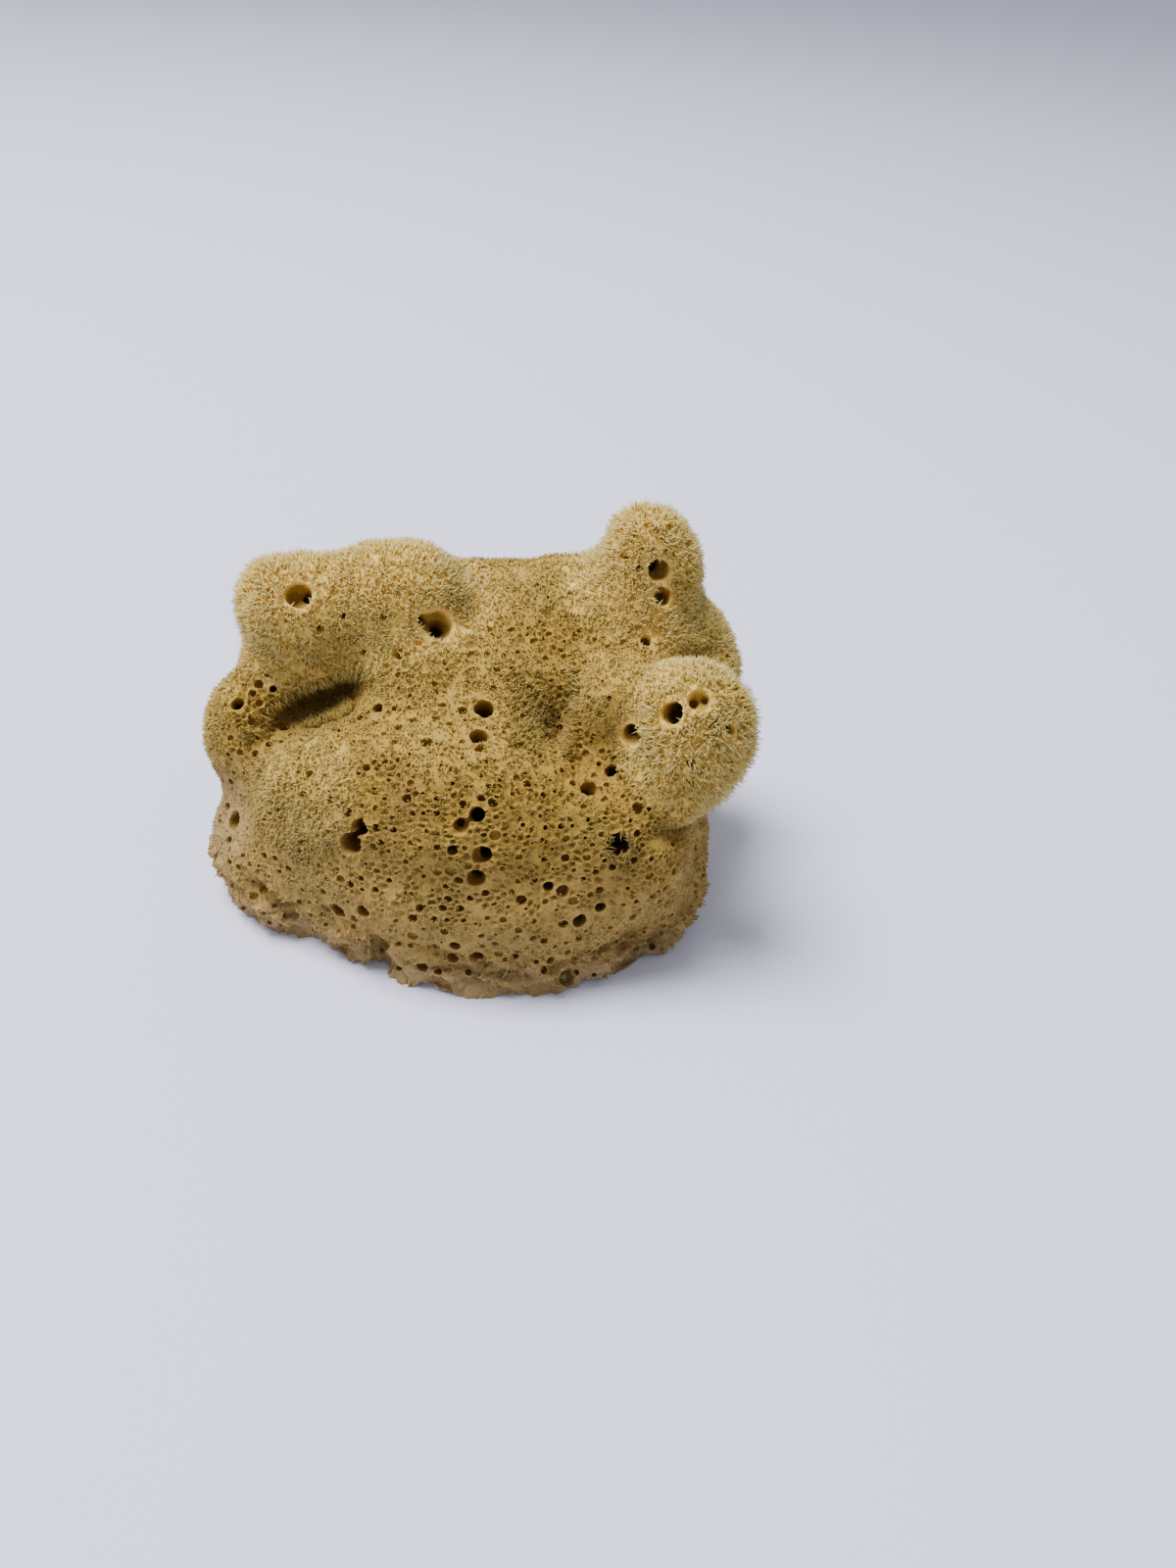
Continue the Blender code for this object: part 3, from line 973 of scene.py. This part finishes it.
def hang_over(places):
    """The way in which tufts lean over a fold or the spiky pit beside them, or zero elsewhere."""
    way = np.zeros_like(places)
    for fold in (fold for fold in FOLDS.values() if fold[-1]):
        towards_steep, _, near, steep_way = fold_parts(places, fold)
        beside = near & (towards_steep > 0) & (towards_steep < FRINGE_REACH)
        way[beside] -= steep_way * fold[-1]
        gentle = fold[6]
        facing = near & (towards_steep < -gentle * LIP_FROM) & (towards_steep > -gentle * LIP_TO)
        way[facing] += steep_way * fold[-1] * LIP_LEAN
    place, _, width, _ = mouths["spiky pit"]
    spokes = np.array(place) - places
    away = np.linalg.norm(spokes, axis=1)
    beside = away < width / 2 + SPIKY_REACH
    way[beside] += spokes[beside] / away[beside][:, None] * SPIKY_LEAN
    return way


roots, directions, lengths, widths, turns = [], [], [], [], []
fur = fur_at(junctions)
fringe_way = hang_over(junctions)
fringed = np.linalg.norm(fringe_way, axis=1) > 0
fur = np.where(fringed, np.maximum(fur, FRINGE_LENGTH), fur)
for share in ROUND_SHARES:
    dense = share * smooth_step(fur, FUR_NONE, FUR_FULL) ** THINNING * (1 - WORN_BARE * worn_at(junctions))
    stands = (chance.random(len(junctions)) < dense) & (junctions[:, 2] > TUFTS_FROM)
    outward = junction_normals[stands]
    count = len(outward)
    root = junctions[stands] + across(outward, count) * chance.uniform(0, SCATTER, count)[:, None]
    leaning = outward + across(outward, count) * chance.uniform(0, LEAN, count)[:, None]
    leaning += fringe_way[stands]
    leaning /= np.linalg.norm(leaning, axis=1)[:, None]
    roots.append(root - outward * SUNK_ROOT)
    directions.append(leaning)
    lengths.append(fur[stands] * MM * chance.uniform(*LENGTH_SPREAD, count) + SUNK_ROOT)
    widths.append(chance.uniform(*TUFT_WIDTH, count))
    turns.append(across(leaning, count))
planted = [np.concatenate(part) for part in (roots, directions, lengths, widths, turns)]
roots = planted[0]
wide_tree = tree_of(wide)
in_a_pore = np.array([wide_tree.find(root)[2] < WIDE_FREE for root in roots])
kept = ~in_a_mouth(roots) & ~in_a_pore
roots, directions, lengths, widths, turns = (part[kept] for part in planted)
print(len(roots), "tufts")

# %% Planting them, side by side round the sponge
SIDES = ("back_left", "left", "front_left", "front", "front_right", "right", "back_right", "back")


def plant(name, chosen):
    """One mesh of tufts, each a copy of the tuft that is turned, stretched and set on its root."""
    count = len(chosen)
    side = np.cross(directions[chosen], turns[chosen])
    length = lengths[chosen][:, None, None]
    width = widths[chosen][:, None, None]
    bend = tuft_bend[None, :, None]
    local_x = (tuft_points[None, :, 0:1] - bend) * width + bend * length
    local_y = tuft_points[None, :, 1:2] * width
    local_z = tuft_points[None, :, 2:3] * length
    places = (roots[chosen][:, None] + turns[chosen][:, None] * local_x
              + side[:, None] * local_y + directions[chosen][:, None] * local_z)
    faces = tuft_faces[None] + np.arange(count)[:, None, None] * len(tuft_points)
    mesh = bpy.data.meshes.new(name)
    mesh.from_pydata(places.reshape(-1, 3).tolist(), [], faces.reshape(-1, 3).tolist())
    piece = bpy.data.objects.new(name, mesh)
    bpy.context.scene.collection.objects.link(piece)
    mesh.polygons.foreach_set("use_smooth", np.ones(len(mesh.polygons), bool))
    at_roots = np.repeat(roots[chosen], len(tuft_points), axis=0)
    store_places(piece, at_roots, np.zeros(len(at_roots)))
    add_attribute(piece, "tip", np.tile(tuft_points[:, 2], count))
    add_attribute(piece, "own_shade", np.repeat(chance.random(count), len(tuft_points)))
    print(name, triangles_of(piece), "triangles")
    return piece


bearing = np.arctan2(roots[:, 0], -roots[:, 1])
order = np.argsort(bearing)
tufts = [plant("tufts_" + name, chosen) for name, chosen in zip(SIDES, np.array_split(order, len(SIDES)))]

# %% [markdown]
# ## Shader maths as Python
#
# A node tree is easier to read as a sum. This small class holds one socket, and +, - and * on it add
# Math nodes. Every other node comes from one method, which takes its kind, settings and inputs.

# %% The finish class
class Value:
    """The output of a node, to be used in Python expressions."""

    def __init__(self, finish, socket):
        self.finish = finish
        self.socket = socket

    def _maths(self, operation, first, second):
        return self.finish.node("ShaderNodeMath", {"operation": operation}, {0: first, 1: second})

    def __add__(self, other):
        return self._maths("ADD", self, other)

    def __sub__(self, other):
        return self._maths("SUBTRACT", self, other)

    def __rsub__(self, other):
        return self._maths("SUBTRACT", other, self)

    def __mul__(self, other):
        return self._maths("MULTIPLY", self, other)

    __radd__ = __add__
    __rmul__ = __mul__


class Finish:
    """A material with one Principled shader, built by expressions."""

    def __init__(self, name):
        self.material = bpy.data.materials.new(name)
        self.material.use_nodes = True
        self.tree = self.material.node_tree
        self.shader = self.tree.nodes["Principled BSDF"]

    def give(self, socket, value):
        if isinstance(value, Value):
            self.tree.links.new(value.socket, socket)
        else:
            socket.default_value = value

    def node(self, kind, settings, inputs, output=0):
        made = self.tree.nodes.new(kind)
        for name, value in settings.items():
            setattr(made, name, value)
        for name, value in inputs.items():
            self.give(made.inputs[name], value)
        return Value(self, made.outputs[output])

    def attribute(self, name):
        return self.node("ShaderNodeAttribute", {"attribute_name": name}, {}, "Fac")

    def noise(self, size, detail=2.0, roughness=0.5):
        """Cloudy noise with grains about this size across, from 0 to 1."""
        inputs = {"Vector": self.place, "Scale": 1 / size, "Detail": detail, "Roughness": roughness}
        return self.node("ShaderNodeTexNoise", {}, inputs, "Fac")

    def ramp(self, value, low, high):
        """0 below low, 1 above high, and gentle between."""
        settings = {"interpolation_type": "SMOOTHSTEP"}
        return self.node("ShaderNodeMapRange", settings, {"Value": value, "From Min": low, "From Max": high})

    def mix(self, share, first, second):
        """Blends two colours by a share from 0 to 1."""
        return self.node("ShaderNodeMix", {"data_type": "RGBA"}, {0: share, 6: first, 7: second}, 2)

    @property
    def place(self):
        return self.node("ShaderNodeTexCoord", {}, {}, "Object")


def colour(red, green, blue):
    """A colour as read off a screen, 0 to 255, in the linear values that the shader wants."""
    linear = [((part / 255 + 0.055) / 1.055) ** 2.4 for part in (red, green, blue)]
    return (*linear, 1.0)


# %% [markdown]
# ## The colours of dried sponge
#
# The crowns are straw yellow, the porous front is duller, and the rim of the cut has faded to a
# pinkish brown. Low on the front the colour is painted lighter, and higher up darker: painted light,
# as a lamp more from the front would give. Mouths and pores are ochre, and painted darker the deeper
# they go, and the bottoms of the folds are painted darker as well: painted shade. Tufts end in pale
# tips, because the fibres there are thin and the light goes through them. Three noises keep any patch
# from being even, and the bump is the felt of fibres that is too fine to model.

# %% The finishes
CROWN = colour(248, 212, 112)
FRONT = colour(168, 135, 58)
# The lighter colour low on the front is painted light, as a lamp more from the front would give.
LOW_FRONT_PAINTED_LIGHT = colour(174, 143, 82)
RIM = colour(172, 145, 100)
# Ochre of the hollow walls, which the sunk layers also lay on as painted shade.
OCHRE_AND_HOLLOW_SHADE = colour(152, 115, 50)
# The darkest painted shade, deep in the mouths and pores.
DEEP_HOLLOW_SHADE = colour(88, 60, 24)
PALE_TIP = colour(252, 228, 140)
OLIVE = colour(124, 110, 54)
# A stain colour, also laid in the bottoms of the folds as painted shade.
STAIN_AND_FOLD_SHADE = colour(142, 110, 60)
# Colours laid over the body one by one: what each follows, between which values it comes in, how much
# of it there is, how much less of it there is in full fur, and the colour.
LAYERS = (
    ("broad", (0.50, 0.70), 0.35, 0.15, OLIVE),
    ("blotch", (0.54, 0.74), 0.30, 0, STAIN_AND_FOLD_SHADE),
    ("grain", (0.48, 0.72), 0.35, 0.2, STAIN_AND_FOLD_SHADE),
    # The fold layer is painted shade in the bottoms of the folds.
    ("fold", None, 0.5, 0, STAIN_AND_FOLD_SHADE),
    # The sunk layers are painted shade: the deeper a point lies in a cell, mouth or pore, the darker it is
    # painted, over the ochre of the hollow walls.
    ("sunk", (0.02, 0.16), 0.75, 0.6, OCHRE_AND_HOLLOW_SHADE),
    ("sunk", (0.14, 0.30), 0.70, 0, OCHRE_AND_HOLLOW_SHADE),
    ("sunk", (0.25, 0.85), 0.80, 0, DEEP_HOLLOW_SHADE),
)
# Painted light: between these heights the colour goes over to the lighter low colour, lighter towards the
# bottom.
PAINTED_LIGHT_HEIGHTS = (58 * MM, 16 * MM)
# How much there is of the painted light low down and of the rim colour, and more where a noise is high.
PAINTED_LIGHT_SHARE = (0.5, 0.6)
RIM_SHARE = (0.6, 0.5)
OWN_SHADE = 0.12
TIP_BETWEEN = (0.25, 1.0)
# How pale the tips are: where there is least fur, how much more in full fur, how much less by chance.
TIP_SHARE = (0.14, 0.58, 0.25)
SHADER = {
    "Roughness": 0.92, "Specular IOR Level": 0.2, "Subsurface Weight": 0.25,
    "Subsurface Radius": (1.0, 0.65, 0.3), "Subsurface Scale": 1.5 * MM}
BUMP_HEIGHT = 0.9 * MM
FIBRE_SHARE = 0.5
FELT_LEAST = 0.6


def sponge_colour(finish, is_tuft):
    """The colour of the sponge, laid on from the plain body colour to the pale tips."""
    follows = {
        "broad": finish.noise(24 * MM),
        "blotch": finish.noise(7 * MM),
        "grain": finish.noise(0.8 * MM, detail=3.0, roughness=0.6),
        "fold": finish.attribute("fold"),
        "sunk": finish.attribute("sunk"),
    }
    furred = finish.attribute("furred")
    body = finish.mix(furred, FRONT, CROWN)
    # Painted light: lower down the colour goes over to a lighter one, as a lamp more from the front would
    # light it.
    height = finish.node("ShaderNodeSeparateXYZ", {}, {"Vector": finish.place}, "Z")
    least, more = PAINTED_LIGHT_SHARE
    low = finish.ramp(height, *PAINTED_LIGHT_HEIGHTS) * (least + follows["broad"] * more)
    body = finish.mix(low, body, LOW_FRONT_PAINTED_LIGHT)
    least, more = RIM_SHARE
    rim = finish.attribute("worn") * (least + follows["blotch"] * more)
    body = finish.mix(rim, body, RIM)
    for followed, between, full, less, shade in LAYERS:
        share = follows[followed]
        if between:
            share = finish.ramp(share, *between)
        if less:
            full = full - furred * less
        body = finish.mix(share * full, body, shade)
    if is_tuft:
        own_shade = finish.attribute("own_shade")
        body = finish.mix(own_shade * OWN_SHADE, body, OCHRE_AND_HOLLOW_SHADE)
        least, more, less = TIP_SHARE
        pale = furred * more + least - own_shade * less
        body = finish.mix(finish.ramp(finish.attribute("tip"), *TIP_BETWEEN) * pale, body, PALE_TIP)
    return body


def sponge_finish(name, is_tuft):
    finish = Finish(name)
    finish.give(finish.shader.inputs["Base Color"], sponge_colour(finish, is_tuft))
    for socket, value in SHADER.items():
        finish.shader.inputs[socket].default_value = value
    felt = finish.noise(1.2 * MM, detail=4.0, roughness=0.65) * (finish.attribute("worn") + FELT_LEAST)
    fibre = finish.noise(0.55 * MM, detail=3.0, roughness=0.7) * FIBRE_SHARE
    inputs = {"Strength": 1.0, "Distance": BUMP_HEIGHT, "Height": fibre + felt}
    bump = finish.node("ShaderNodeBump", {}, inputs, "Normal")
    finish.give(finish.shader.inputs["Normal"], bump)
    return finish.material


skin_finish = sponge_finish("sponge_skin", False)
tuft_finish = sponge_finish("sponge_tufts", True)
skin.data.materials.clear()
skin.data.materials.append(skin_finish)
for piece in tufts:
    piece.data.materials.append(tuft_finish)

# %% [markdown]
# ## Floor and light
#
# A plain pale floor that reaches past the top of the picture, and one large soft light high above and
# to the left, so that the crowns are bright and the low front falls into soft shade. A pale world
# fills the rest.

# %% The floor and the lights
FLOOR_SIZE = 60.0
LAMP_PLACE = Vector((-0.8, 0.1, 2.1))
LAMP_SIZE = 1.1
LAMP_POWER = 100
LAMP_AIM = Vector((0, 0, 0.05))
WORLD_POWER = 0.55
WORLD_COLOUR = (0.93, 0.95, 1.0, 1.0)
FLOOR_COLOUR = colour(221, 223, 246)
FLOOR_ROUGHNESS = 0.7

bpy.ops.mesh.primitive_plane_add(size=FLOOR_SIZE)
floor = bpy.context.object
floor.name = "floor"
floor_finish = Finish("pale_floor")
floor_finish.shader.inputs["Base Color"].default_value = FLOOR_COLOUR
floor_finish.shader.inputs["Roughness"].default_value = FLOOR_ROUGHNESS
floor.data.materials.append(floor_finish.material)

bpy.ops.object.light_add(type="AREA", location=LAMP_PLACE)
lamp = bpy.context.object
lamp.rotation_euler = (LAMP_AIM - LAMP_PLACE).to_track_quat("-Z", "Y").to_euler()
lamp.data.size = LAMP_SIZE
lamp.data.energy = LAMP_POWER
world = bpy.data.worlds.new("pale room")
bpy.context.scene.world = world
world.use_nodes = True
background = world.node_tree.nodes["Background"]
background.inputs["Color"].default_value = WORLD_COLOUR
background.inputs["Strength"].default_value = WORLD_POWER

# %% [markdown]
# ## Handing the pieces over
#
# The sponge has no joints, so everything rides on the one body. The skin and the tufts together stand
# for the imported solid, and the helper solids go.

# %% Riding and replacing
for helper in (form, hollows):
    bpy.data.objects.remove(helper)
for piece in (skin, *tufts):
    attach(piece, "root")
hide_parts("sponge")
